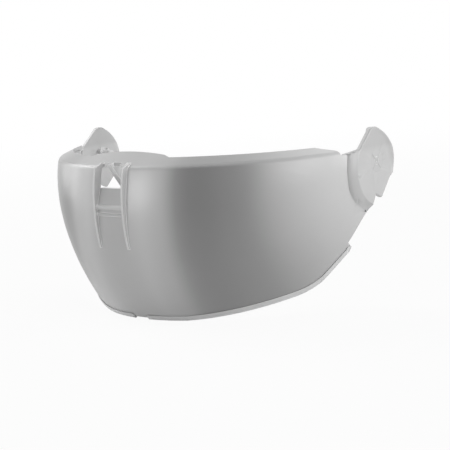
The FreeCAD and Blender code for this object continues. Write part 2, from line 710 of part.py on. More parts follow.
def washer_body(doc, name):
    """The flat friction washer between the hub's flange and the ear."""
    body = doc.addObject("PartDesign::Body", name)
    ring = new_sketch(body, "RingSketch", "YZ_Plane", "-Sizes.ear_thick")
    draw_circle(ring, "Sizes.washer_radius")
    draw_circle(ring, "Sizes.stem_radius + Sizes.stem_play")
    add_pad(body, ring, "Ring", "Sizes.washer_thick")
    return body


def check(node):
    """Stop unless the object and its shape are sound."""
    if "Invalid" in node.State or "Error" in node.State:
        raise RuntimeError(f"{node.Label} failed to recompute: {node.State}")
    if node.Shape.isNull() or not node.Shape.isValid():
        raise RuntimeError(f"{node.Label} has no sound shape")
    if len(node.Shape.Solids) != 1:
        raise RuntimeError(f"{node.Label} is in more than one lump")


def main():
    """Build every piece in its place, check it and write it out."""
    doc = FreeCAD.newDocument("HelmetVisor")
    d = read_sizes(make_sheet(doc))
    base = Vector(0, (d.fin_reach - d.ear_back) / 2, d.lens_drop + d.edging_play + d.edging_floor)
    nodes = []
    formed = [
        ("visor_shell", shell_shape(d)),
        ("lower_edging_right", edging_shape(d, 1)),
        ("lower_edging_left", edging_shape(d, -1)),
    ]
    for name, shape in formed:
        node = doc.addObject("Part::Feature", name)
        node.Shape = shape
        node.Placement = Placement(base, Rotation())
        nodes.append(node)
    makers = {"pivot_hub": hub_body, "star_retainer": star_body, "friction_washer": washer_body}
    for name, make in makers.items():
        for hand, turn in (("right", 0.0), ("left", HALF_TURN)):
            node = make(doc, f"{name}_{hand}")
            facing = Rotation(Vector(0, 0, 1), turn)
            slant = Rotation(Vector(1, 0, 0), STAR_SLANT)
            place = base + facing.multVec(Vector(d.ear_span / 2, 0, 0))
            node.Placement = Placement(place, facing * slant)
            nodes.append(node)
    doc.recompute()
    for node in nodes:
        check(node)
    os.makedirs("parts", exist_ok=True)
    for node in nodes:
        node.Shape.exportStep(f"parts/{node.Label}.step")


main()
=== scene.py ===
import json
import logging
import math
from dataclasses import dataclass, field
from enum import Enum
from typing import Callable, Sequence

import bmesh
import bpy
from mathutils import Matrix, Vector

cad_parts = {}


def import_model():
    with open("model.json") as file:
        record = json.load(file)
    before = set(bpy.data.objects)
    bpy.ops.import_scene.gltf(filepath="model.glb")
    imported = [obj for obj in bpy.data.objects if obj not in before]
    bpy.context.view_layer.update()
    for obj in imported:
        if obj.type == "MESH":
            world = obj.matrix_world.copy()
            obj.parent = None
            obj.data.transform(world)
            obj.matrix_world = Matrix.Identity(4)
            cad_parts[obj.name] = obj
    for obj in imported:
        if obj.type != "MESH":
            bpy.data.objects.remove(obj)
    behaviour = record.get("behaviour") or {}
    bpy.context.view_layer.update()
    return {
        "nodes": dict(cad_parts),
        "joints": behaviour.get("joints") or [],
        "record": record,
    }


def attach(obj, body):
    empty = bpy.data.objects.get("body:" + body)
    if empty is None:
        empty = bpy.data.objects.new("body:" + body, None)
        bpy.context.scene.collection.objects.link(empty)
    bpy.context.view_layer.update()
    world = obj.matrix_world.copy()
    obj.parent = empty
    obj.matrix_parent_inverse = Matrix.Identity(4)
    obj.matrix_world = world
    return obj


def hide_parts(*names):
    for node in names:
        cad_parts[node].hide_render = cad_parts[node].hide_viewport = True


LOG = logging.getLogger("helmet_visor")
MM = 0.001
FULL_TURN = 2 * math.pi
QUARTER_TURN = math.radians(90)
MIX_INPUTS = (0, 6, 7)  # a Mix node's factor and its two colours, by number
MIX_RESULT = 2  # the mixed colour, by number
ROUND_PROFILE = 0.5  # the bevel profile that is an arc
FLAT_WEIGHT = 80  # how strongly large faces set the shading beside their rounded edges
SMALL_ROUND = 0.12 * MM  # the edge rounding of hubs and washers

Colour = tuple[float, float, float]
Socket = bpy.types.NodeSocket
Mesh = bpy.types.Mesh
Object = bpy.types.Object
Material = bpy.types.Material
World = bpy.types.World
Form = bmesh.types.BMesh
Face = bmesh.types.BMFace
Edge = bmesh.types.BMEdge
Vert = bmesh.types.BMVert
Node = bpy.types.Node


def grey(level: float) -> Colour:
    """A neutral colour."""
    return (level, level, level)


class Side(Enum):
    """The two sides as seen from the front, as signs along X."""

    RIGHT = 1
    LEFT = -1


class Nodes:
    """A small builder for the nodes of one material or world."""

    def __init__(self, holder: Material | World) -> None:
        """Start with an empty tree.

        Args:
            holder: the material or world.
        """
        self.holder = holder
        holder.use_nodes = True
        self.tree = holder.node_tree
        self.tree.nodes.clear()

    def add(self, kind: str, **settings: object) -> Node:
        """Add a node and set its properties and its unlinked inputs.

        Args:
            kind: the node's type name.
            settings: properties by name, or inputs by name with spaces as underscores.

        Returns:
            The new node.
        """
        node = self.tree.nodes.new(kind)
        for key, value in settings.items():
            if hasattr(node, key):
                setattr(node, key, value)
            else:
                node.inputs[key.replace("_", " ")].default_value = value
        return node

    def link(self, source: Socket, target: Socket) -> None:
        """Join an output to an input."""
        self.tree.links.new(source, target)

    def give(self, target: Socket, value: object) -> None:
        """Give an input a value, or a link where the value is a socket.

        Args:
            target: the input.
            value: a socket, a number or a colour.
        """
        if isinstance(value, Socket):
            self.link(value, target)
        elif isinstance(value, tuple):
            target.default_value = (*value, 1)
        else:
            target.default_value = value

    def math(
        self, operation: str, first: object, second: object = 0.0, clamp: bool = False
    ) -> Socket:
        """A Math node.

        Args:
            operation: the node's operation.
            first: a socket or a number.
            second: a socket or a number.
            clamp: whether the result is held between 0 and 1.

        Returns:
            The result's socket.
        """
        node = self.add("ShaderNodeMath", operation=operation, use_clamp=clamp)
        for index, value in enumerate((first, second)):
            self.give(node.inputs[index], value)
        return node.outputs[0]

    def place(self) -> Socket:
        """The point on the object, in its own coordinates."""
        return self.add("ShaderNodeTexCoord").outputs["Object"]

    def noise(self, scale: float, detail: float = 3.0) -> Socket:
        """Smooth noise over the object.

        Args:
            scale: the number of its waves in a metre.
            detail: the number of its finer layers.

        Returns:
            The noise value's socket.
        """
        node = self.add("ShaderNodeTexNoise", Scale=scale, Detail=detail)
        self.link(self.place(), node.inputs["Vector"])
        return node.outputs["Fac"]

    def ramp(self, factor: Socket, stops: Sequence[tuple[float, float]]) -> Socket:
        """A smooth curve through stops.

        Args:
            factor: what is looked up.
            stops: pairs of place and value, in rising order of place.

        Returns:
            The value's socket.
        """
        node = self.add("ShaderNodeValToRGB")
        node.color_ramp.interpolation = "B_SPLINE"
        elements = node.color_ramp.elements
        while len(elements) < len(stops):
            elements.new(0.5)
        for element, (place, value) in zip(elements, stops):
            element.position = place
            element.color = (value, value, value, 1)
        self.link(factor, node.inputs["Fac"])
        return node.outputs["Color"]

    def mix(self, factor: object, low: object, high: object) -> Socket:
        """Mix two colours.

        Args:
            factor: a socket or a number.
            low: a colour or a colour socket.
            high: a colour or a colour socket.

        Returns:
            The mixed colour's socket.
        """
        node = self.add("ShaderNodeMix", data_type="RGBA")
        for index, value in zip(MIX_INPUTS, (factor, low, high)):
            self.give(node.inputs[index], value)
        return node.outputs[MIX_RESULT]

    def white_ray(self) -> Socket:
        """Whether a ray sees the background as white: from the camera, by gloss or through plastic.

        Returns:
            The answer's socket, 0 or 1.
        """
        path = self.add("ShaderNodeLightPath")
        seen = path.outputs["Is Camera Ray"]
        for name in ("Is Glossy Ray", "Is Transmission Ray"):
            seen = self.math("MAXIMUM", seen, path.outputs[name])
        return seen

    def blend(self, factor: Socket, low: Node, high: Node) -> Node:
        """Mix two shaders.

        Args:
            factor: how much of the second is seen.
            low: the first shader.
            high: the second shader.

        Returns:
            The mixing node.
        """
        mixed = self.add("ShaderNodeMixShader")
        for index, source in enumerate((factor, low.outputs[0], high.outputs[0])):
            self.link(source, mixed.inputs[index])
        return mixed

    def close(
        self, shader: Node, kind: str = "ShaderNodeOutputMaterial"
    ) -> Material | World:
        """Close the tree with its shader.

        Args:
            shader: the last shader node.
            kind: the output node's type name.

        Returns:
            The finished material or world.
        """
        self.link(shader.outputs[0], self.add(kind).inputs["Surface"])
        return self.holder


@dataclass(frozen=True)
class Grain:
    """The fine grain that a mould leaves on plastic, and the slow change of its gloss."""

    scale: float
    detail: float
    strength: float
    depth: float
    gloss_scale: float
    gloss_change: float

    def plastic(self, n: Nodes, colour: Socket, roughness: float, ior: float) -> Node:
        """A plastic shader with this grain.

        Args:
            n: the builder.
            colour: the colour's socket.
            roughness: the middle of its roughness.
            ior: its index of refraction.

        Returns:
            The shader node.
        """
        bump = n.add("ShaderNodeBump", Strength=self.strength, Distance=self.depth)
        n.link(n.noise(self.scale, self.detail), bump.inputs["Height"])
        gloss = n.math("MULTIPLY", n.noise(self.gloss_scale), self.gloss_change)
        gloss = n.math("ADD", gloss, roughness - self.gloss_change / 2)
        shader = n.add("ShaderNodeBsdfPrincipled", IOR=ior)
        n.link(colour, shader.inputs["Base Color"])
        n.link(gloss, shader.inputs["Roughness"])
        n.link(bump.outputs[0], shader.inputs["Normal"])
        return shader


@dataclass(frozen=True)
class SmokeShell:
    """Satin smoke tinted polycarbonate whose colour carries painted shade and painted highlight:
    darker at the bend of the lens, pale at its edges.

    The stops give the depth of smoke tinting and painted shade by the distance from the middle, as
    a share of tint_reach, with a painted highlight beside the fins. The brow and the low part of
    the lens each change it by a share taken away and a depth added: painted shade and light there.
    """

    name: str = "smoke_polycarbonate"
    # the colours at no tinting and at full tinting; the map between them carries painted shade and
    # a painted highlight
    pale: float = 0.66
    deep: float = 0.20
    # the colour of the painted highlight on edges, fins and prongs
    painted_light: float = 0.80
    roughness: float = 0.32
    ior: float = 1.58
    tint_reach: float = 0.11
    fold_height: float = 0.0895
    fold_blend: float = 0.0025
    # painted shade and light on the brow: share of tinting taken away, depth added
    brow_painted_shade: tuple[float, float] = (0.65, 0.27)
    low_from: float = 0.068
    low_run: float = 0.06
    # painted shade and light on the low part of the lens: share taken away, depth added
    low_painted_shade: tuple[float, float] = (0.45, 0.28)
    cloud_scale: float = 28.0
    cloud_depth: float = 0.05
    # painted glow on the prongs: its strength past 1 and its colour
    glow: float = 0.1
    glow_level: float = 0.95
    grain: Grain = Grain(
        scale=900.0, detail=2.0, strength=0.04, depth=0.05 * MM, gloss_scale=60.0, gloss_change=0.02
    )
    # depth of tinting by distance from the middle, with painted shade across the bend and a painted
    # highlight beside the fins
    tint_and_shade_stops: tuple[tuple[float, float], ...] = (
        (0.0, 0.22), (0.11, 0.17), (0.18, 0.04), (0.236, 0.2), (0.28, 0.28), (0.318, 0.46),
        (0.36, 0.82), (0.42, 1.0), (0.5, 1.0), (0.57, 0.93), (0.655, 0.86), (0.727, 0.54),
        (0.82, 0.24), (0.91, 0.05), (0.95, 0.08), (0.985, 0.28),
    )

    @staticmethod
    def shifted(n: Nodes, tint_and_shade: Socket, zone: Socket, change: tuple[float, float]) -> Socket:
        """The smoke tinting and its painted shade, flattened and raised in a zone to paint shade or
        light there.

        Args:
            n: the builder.
            tint_and_shade: the smoke tinting and its painted shade.
            zone: how far a place belongs to the zone, between 0 and 1.
            change: how much of it is taken away there, and what is added.

        Returns:
            The new value.
        """
        kept = n.math("SUBTRACT", 1.0, n.math("MULTIPLY", zone, change[0]))
        return n.math("ADD", n.math("MULTIPLY", tint_and_shade, kept), n.math("MULTIPLY", zone, change[1]))

    def tint_and_shade(self, n: Nodes) -> Socket:
        """The depth of smoke tinting and painted shade over the shield, with a painted highlight
        beside the fins.

        Args:
            n: the builder.

        Returns:
            The depth, between 0 and 1.
        """
        split = n.add("ShaderNodeSeparateXYZ")
        n.link(n.place(), split.inputs[0])
        across, up = n.math("ABSOLUTE", split.outputs["X"]), split.outputs["Z"]
        tint_and_shade = n.ramp(n.math("DIVIDE", across, self.tint_reach, clamp=True), self.tint_and_shade_stops)
        above = n.math("SUBTRACT", up, self.fold_height)
        above = n.math("DIVIDE", above, self.fold_blend, clamp=True)
        tint_and_shade = self.shifted(n, tint_and_shade, above, self.brow_painted_shade)
        low = n.math("SUBTRACT", self.low_from, up)
        low = n.math("DIVIDE", low, self.low_run, clamp=True)
        tint_and_shade = self.shifted(n, tint_and_shade, low, self.low_painted_shade)
        cloud = n.math("SUBTRACT", n.noise(self.cloud_scale), 0.5)
        return n.math("ADD", tint_and_shade, n.math("MULTIPLY", cloud, self.cloud_depth), clamp=True)

    def build(self) -> Material:
        """Make the material, with a painted highlight and a painted glow where the face attribute
        says so.

        Returns:
            The material.
        """
        n = Nodes(bpy.data.materials.new(self.name))
        # smoke tinting with painted shade and painted highlight, by place
        colour = n.mix(self.tint_and_shade(n), grey(self.pale), grey(self.deep))
        # painted highlight from the face attribute, on edges, fins and prongs
        edge = n.add("ShaderNodeAttribute", attribute_name="painted_light").outputs["Fac"]
        colour = n.mix(n.math("MINIMUM", edge, 1.0), colour, grey(self.painted_light))
        shader = self.grain.plastic(n, colour, self.roughness, self.ior)
        # painted glow where the face attribute passes 1, on the prongs
        shader.inputs["Emission Color"].default_value = (*grey(self.glow_level), 1.0)
        beyond = n.math("MAXIMUM", n.math("SUBTRACT", edge, 1.0), 0.0)
        n.link(n.math("MULTIPLY", beyond, self.glow), shader.inputs["Emission Strength"])
        return n.close(shader)


@dataclass(frozen=True)
class PlainMoulding:
    """Moulded plastic with faint clouding and a fine grain."""

    name: str
    colour: Colour
    shade: float = 0.85
    roughness: float = 0.4
    ior: float = 1.5
    cloud_scale: float = 90.0
    cloud_detail: float = 4.0
    grain: Grain = Grain(
        scale=700.0, detail=3.0, strength=0.1, depth=0.05 * MM, gloss_scale=150.0, gloss_change=0.1
    )

    def build(self) -> Material:
        """Make the material.

        Returns:
            The material.
        """
        n = Nodes(bpy.data.materials.new(self.name))
        dark = tuple(value * self.shade for value in self.colour)
        colour = n.mix(n.noise(self.cloud_scale, self.cloud_detail), dark, self.colour)
        return n.close(self.grain.plastic(n, colour, self.roughness, self.ior))


@dataclass(frozen=True)
class StudioWhite:
    """The pale floor: seen as white, and lit as plain paper, with the object's shadow kept."""

    name: str = "studio_white"
    paper: float = 0.8
    paper_change: float = 0.01
    paper_scale: float = 3.0
    shown: float = 0.93
    near: float = 0.3
    far: float = 1.2

    def build(self) -> Material:
        """Make the material.

        Returns:
            The material.
        """
        n = Nodes(bpy.data.materials.new(self.name))
        paper = n.add("ShaderNodeBsdfDiffuse")
        tones = (grey(self.paper - self.paper_change), grey(self.paper + self.paper_change))
        n.link(n.mix(n.noise(self.paper_scale), *tones), paper.inputs["Color"])
        bright = n.add("ShaderNodeEmission", Color=(1, 1, 1, 1), Strength=1.0)
        away = n.add("ShaderNodeVectorMath", operation="LENGTH")
        n.link(n.place(), away.inputs[0])
        fade = n.add(
            "ShaderNodeMapRange", interpolation_type="SMOOTHSTEP",
            From_Min=self.near, From_Max=self.far, To_Min=self.shown, To_Max=1.0,
        )
        n.link(away.outputs["Value"], fade.inputs["Value"])
        shown = n.math("MULTIPLY", n.white_ray(), fade.outputs["Result"])
        return n.close(n.blend(shown, paper, bright))


@dataclass
class Piece:
    """One visible piece: its mesh, the body it rides on and the CAD node it stands for."""

    name: str
    body: str
    slot: str
    node: str
    finish: Material

    def set_down(self, mesh: Mesh) -> Object:
        """Put a finished mesh in the scene as this piece.

        Args:
            mesh: the mesh, in the frame, in metres.

        Returns:
            The object.
        """
        mesh.name = self.name
        mesh.materials.clear()
        mesh.materials.append(self.finish)
        piece = bpy.data.objects.new(self.name, mesh)
        bpy.context.scene.collection.objects.link(piece)
        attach(piece, self.body)
        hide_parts(self.node)
        LOG.info("%s: %d faces, rides on %s", self.name, len(mesh.polygons), self.body)
        return piece


def settled(mesh: Mesh, prepare: Callable[[Object], None]) -> Mesh:
    """Run modifiers on a mesh and keep the result as a plain mesh.

    Args:
        mesh: the mesh to start from.
        prepare: adds the modifiers to a passing object.

    Returns:
        The resulting mesh.
    """
    passing = bpy.data.objects.new("passing", mesh)
    bpy.context.scene.collection.objects.link(passing)
    prepare(passing)
    bpy.context.view_layer.update()
    seen = passing.evaluated_get(bpy.context.evaluated_depsgraph_get())
    result = bpy.data.meshes.new_from_object(seen)
    bpy.data.objects.remove(passing)
    return result


def weigh_normals(passing: Object) -> None:
    """Let the large faces set the shading, so that flats stay flat beside their rounded edges.

    Args:
        passing: the object that takes the modifier.
    """
    weigh = passing.modifiers.new("weigh", "WEIGHTED_NORMAL")
    weigh.mode = "FACE_AREA"
    weigh.weight = FLAT_WEIGHT


def smoothed(mesh: Mesh) -> Mesh:
    """Shade a mesh smooth, with its large faces kept flat."""
    mesh.shade_smooth()
    return settled(mesh, weigh_normals)


def rounded(
    form: Form,
    edges: Sequence[Edge],
    width: float,
    parts: int,
    clamp: bool,
) -> set[Face]:
    """Round edges of a mesh.

    Args:
        form: the mesh being worked on.
        edges: its edges to round.
        width: how far the rounding reaches from the edge.
        parts: the number of faces across it.
        clamp: whether the width gives way where edges lie close.

    Returns:
        The faces of the roundings.
    """
    made = bmesh.ops.bevel(
        form, geom=edges, offset=width, offset_type="OFFSET", segments=parts,
        profile=ROUND_PROFILE, affect="EDGES", clamp_overlap=clamp,
    )
    return set(made["faces"])


def line(
    start: Sequence[float], end: Sequence[float], spacing: float
) -> list[tuple[float, float]]:
    """Places along a straight run, without its start.

    Args:
        start: first place.
        end: last place.
        spacing: the distance between places.

    Returns:
        The places.
    """
    count = max(1, round(math.dist(start, end) / spacing))
    return [
        (start[0] + (end[0] - start[0]) * i / count, start[1] + (end[1] - start[1]) * i / count)
        for i in range(1, count + 1)
    ]


def arc(
    start: Sequence[float], through: Sequence[float], end: Sequence[float], spacing: float
) -> list[tuple[float, float]]:
    """Places along the arc through three places, without its start.

    Args:
        start: first place.
        through: a place on the way.
        end: last place.
        spacing: the distance between places.

    Returns:
        The places.
    """
    (ax, ay), (bx, by), (cx, cy) = start, through, end
    twice = 2 * (ax * (by - cy) + bx * (cy - ay) + cx * (ay - by))
    a, b, c = (x * x + y * y for x, y in (start, through, end))
    middle_x = (a * (by - cy) + b * (cy - ay) + c * (ay - by)) / twice
    middle_y = (a * (cx - bx) + b * (ax - cx) + c * (bx - ax)) / twice
    radius = math.dist(start, (middle_x, middle_y))
    first = math.atan2(ay - middle_y, ax - middle_x)
    turn = math.remainder(math.atan2(cy - middle_y, cx - middle_x) - first, FULL_TURN)
    count = max(2, round(abs(turn) * radius / spacing))
    angles = [first + turn * i / count for i in range(1, count + 1)]
    return [(middle_x + radius * math.cos(t), middle_y + radius * math.sin(t)) for t in angles]


@dataclass
class RoundedMoulding:
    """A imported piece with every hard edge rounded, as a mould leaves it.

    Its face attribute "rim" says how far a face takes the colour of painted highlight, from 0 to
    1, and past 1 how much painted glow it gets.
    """

    edge_round: float = 0.25 * MM
    edge_angle: float = 0.45
    flat_angle: float = 0.003
    join: float = 0.02 * MM
    tangle: float = 0.6 * MM
    steps: int = 2

    def soften(self, form: Form) -> None:
        """Reshape what needs more than rounded edges; plain pieces need nothing."""

    def is_tangled(self, vert: Vert) -> bool:
        """Whether a point lies where short edges would spoil the rounding; by default none does."""
        return False

    def stays_sharp(self, edge: Edge) -> bool:
        """Whether an edge is left as it is; plain pieces round them all."""
        return False

    def painted_light_value(self, face: Face, on_edge: bool) -> float:
        """The value of a face's "rim", its share of painted highlight."""
        return 1.0 if on_edge else 0.0

    def is_hard(self, edge: Edge) -> bool:
        """Whether an edge is rounded."""
        closed = len(edge.link_faces) == 2
        return closed and edge.calc_face_angle() > self.edge_angle and not self.stays_sharp(edge)

    def mesh(self, node: Object) -> Mesh:
        """A copy of the piece with rounded edges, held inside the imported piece's box.

        Args:
            node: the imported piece.

        Returns:
            The finished mesh.
        """
        form = bmesh.new()
        form.from_mesh(node.data)
        # the share of painted highlight on each face, and past 1 of painted glow
        painted_light = form.faces.layers.float.new("painted_light")
        bmesh.ops.remove_doubles(form, verts=form.verts, dist=self.join)
        bmesh.ops.dissolve_degenerate(form, dist=self.join, edges=form.edges)
        bmesh.ops.dissolve_limit(
            form, angle_limit=self.flat_angle, verts=form.verts, edges=form.edges
        )
        self.soften(form)
        tangled = [vert for vert in form.verts if self.is_tangled(vert)]
        bmesh.ops.remove_doubles(form, verts=tangled, dist=self.tangle)
        hard = [edge for edge in form.edges if self.is_hard(edge)]
        roundings = rounded(form, hard, self.edge_round, self.steps, clamp=False)
        bounds = [[corner[axis] for corner in node.bound_box] for axis in range(3)]
        for vert in form.verts:
            vert.co = Vector(
                min(max(value, min(span)), max(span)) for value, span in zip(vert.co, bounds)
            )
        for face in form.faces:
            face.smooth = True
            face[painted_light] = self.painted_light_value(face, face in roundings)
        bmesh.ops.triangulate(form, faces=[face for face in form.faces if len(face.verts) > 4])
        mesh = bpy.data.meshes.new(node.name + "_rounded")
        form.to_mesh(mesh)
        form.free()
        return settled(mesh, weigh_normals)


class Tree:
    """A small builder for one Geometry Nodes tree with named inputs."""

    def __init__(self, name: str, inputs: dict[str, str]) -> None:
        """Start a tree that takes a mesh and a finish and gives a mesh back.

        Args:
            name: the tree's name.
            inputs: the kinds of its further inputs, by name.
        """
        self.group = bpy.data.node_groups.new(name, "GeometryNodeTree")
        self.keys: dict[str, str] = {}
        self.entry = self.group.nodes.new("NodeGroupInput")
        self.exit = self.group.nodes.new("NodeGroupOutput")
        self.group.interface.new_socket("Mesh", in_out="OUTPUT", socket_type="NodeSocketGeometry")
        for title, kind in {"Mesh": "Geometry", **inputs, "Finish": "Material"}.items():
            socket = self.group.interface.new_socket(
                title, in_out="INPUT", socket_type="NodeSocket" + kind
            )
            self.keys[title] = socket.identifier

    def given(self, name: str) -> Socket:
        """The named input, as a socket to link from."""
        return self.entry.outputs[name]

    def add(
        self, kind: str, inputs: dict[str | int, object] | None = None, **settings: object
    ) -> Node:
        """Add a node, set its properties, and link or set its inputs.

        Args:
            kind: the node's type name.
            inputs: sockets or values, by the input's name or number.
            settings: properties by name.

        Returns:
            The new node.
        """
        node = self.group.nodes.new(kind)
        for key, value in settings.items():
            setattr(node, key, value)
        for key, value in (inputs or {}).items():
            if isinstance(value, Socket):
                self.group.links.new(value, node.inputs[key])
            else:
                node.inputs[key].default_value = value
        return node

    def number(self, operation: str, first: object, second: object) -> Socket:
        """A Math node on two sockets or numbers."""
        return self.add("ShaderNodeMath", {0: first, 1: second}, operation=operation).outputs[0]

    def triple(self, **parts: object) -> Socket:
        """A vector made of sockets or numbers for X, Y and Z, and 0 where none is given."""
        return self.add("ShaderNodeCombineXYZ", parts).outputs[0]

    def shifted(self, geometry: Socket, **change: object) -> Socket:
        """Geometry moved by Translation or turned by Rotation."""
        return self.add("GeometryNodeTransform", {0: geometry, **change}).outputs[0]

    def boolean(self, operation: str, inputs: dict, solids: Sequence[Socket]) -> Socket:
        """Join solids, or take them from the one that the inputs give.

        Args:
            operation: UNION or DIFFERENCE.
            inputs: the node's other inputs, by name.
            solids: the solids that are joined or taken away.

        Returns:
            The resulting geometry.
        """
        node = self.add(
            "GeometryNodeMeshBoolean", inputs, operation=operation, solver="EXACT"
        )
        for solid in solids:
            self.group.links.new(solid, node.inputs["Mesh 2"])
        return node.outputs[0]

    def close(self, geometry: Socket) -> None:
        """End the tree with real geometry that has its finish.

        Args:
            geometry: what the tree made.
        """
        real = self.add("GeometryNodeRealizeInstances", {0: geometry})
        dressed = self.add(
            "GeometryNodeSetMaterial", {0: real.outputs[0], "Material": self.given("Finish")}
        )
        self.group.links.new(dressed.outputs[0], self.exit.inputs[0])

    def run(self, start: Mesh, values: dict[str, object]) -> Mesh:
        """Run the tree on a mesh.

        Args:
            start: the mesh that it works on.
            values: the inputs by name.

        Returns:
            The result as a plain mesh.
        """
        def prepare(passing: Object) -> None:
            """Put the tree and its values on the passing object."""
            modifier = passing.modifiers.new(self.group.name, "NODES")
            modifier.node_group = self.group
            for name, value in values.items():
                modifier[self.keys[name]] = value

        return settled(start, prepare)


@dataclass(frozen=True)
class LensForm:
    """The outer face of the lens: level ellipses whose axes follow a smooth rule in the height.

    Places are in millimetres ahead of the pivot line and above it. probe is the step over which
    a slope is read.
    """

    bow_back: float = 20.9
    heights: tuple[float, ...] = (8.1, -16.9, -41.9, -66.9, -87.9)
    half_widths: tuple[float, ...] = (111.0, 110.0, 101.5, 90.5, 84.0)
    depths: tuple[float, ...] = (127.5, 131.5, 130.0, 121.5, 107.0)
    wall: float = 2.2
    probe: float = 0.01

    def through(self, values: Sequence[float], up: float) -> float:
        """The smooth rule through the five levels.

        Args:
            values: the value at each level.
            up: the height.

        Returns:
            The value at that height.
        """
        total = 0.0
        for i, value in enumerate(values):
            share = 1.0
            for j, height in enumerate(self.heights):
                if j != i:
                    share *= (up - height) / (self.heights[i] - height)
            total += value * share
        return total

    @staticmethod
    def beside(share: float) -> float:
        """What a unit circle leaves of one axis at a share of the other."""
        return math.sqrt(max(0.0, 1 - share * share))

    def aside(self, ahead: float, up: float) -> float:
        """How far the lens lies to the side at a place ahead."""
        share = (ahead + self.bow_back) / self.through(self.depths, up)
        return self.through(self.half_widths, up) * self.beside(share)

    def ahead(self, aside: float, up: float) -> float:
        """How far ahead the lens lies at a place aside."""
        share = aside / self.through(self.half_widths, up)
        return self.through(self.depths, up) * self.beside(share) - self.bow_back

    def outward(self, aside: float, ahead: float, up: float) -> Vector:
        """The direction square to the lens.

        Args:
            aside: place across.
            ahead: place ahead.
            up: height.

        Returns:
            The unit normal in the object's frame.
        """
        def level(x: float, y: float, z: float) -> float:
            """1 on the lens, and more outside it."""
            wide = x / self.through(self.half_widths, z)
            deep = (y + self.bow_back) / self.through(self.depths, z)
            return wide * wide + deep * deep

        here = level(aside, ahead, up)
        slopes = (
            level(aside + self.probe, ahead, up) - here,
            here - level(aside, ahead + self.probe, up),
            level(aside, ahead, up + self.probe) - here,
        )
        return Vector(slopes).normalized()


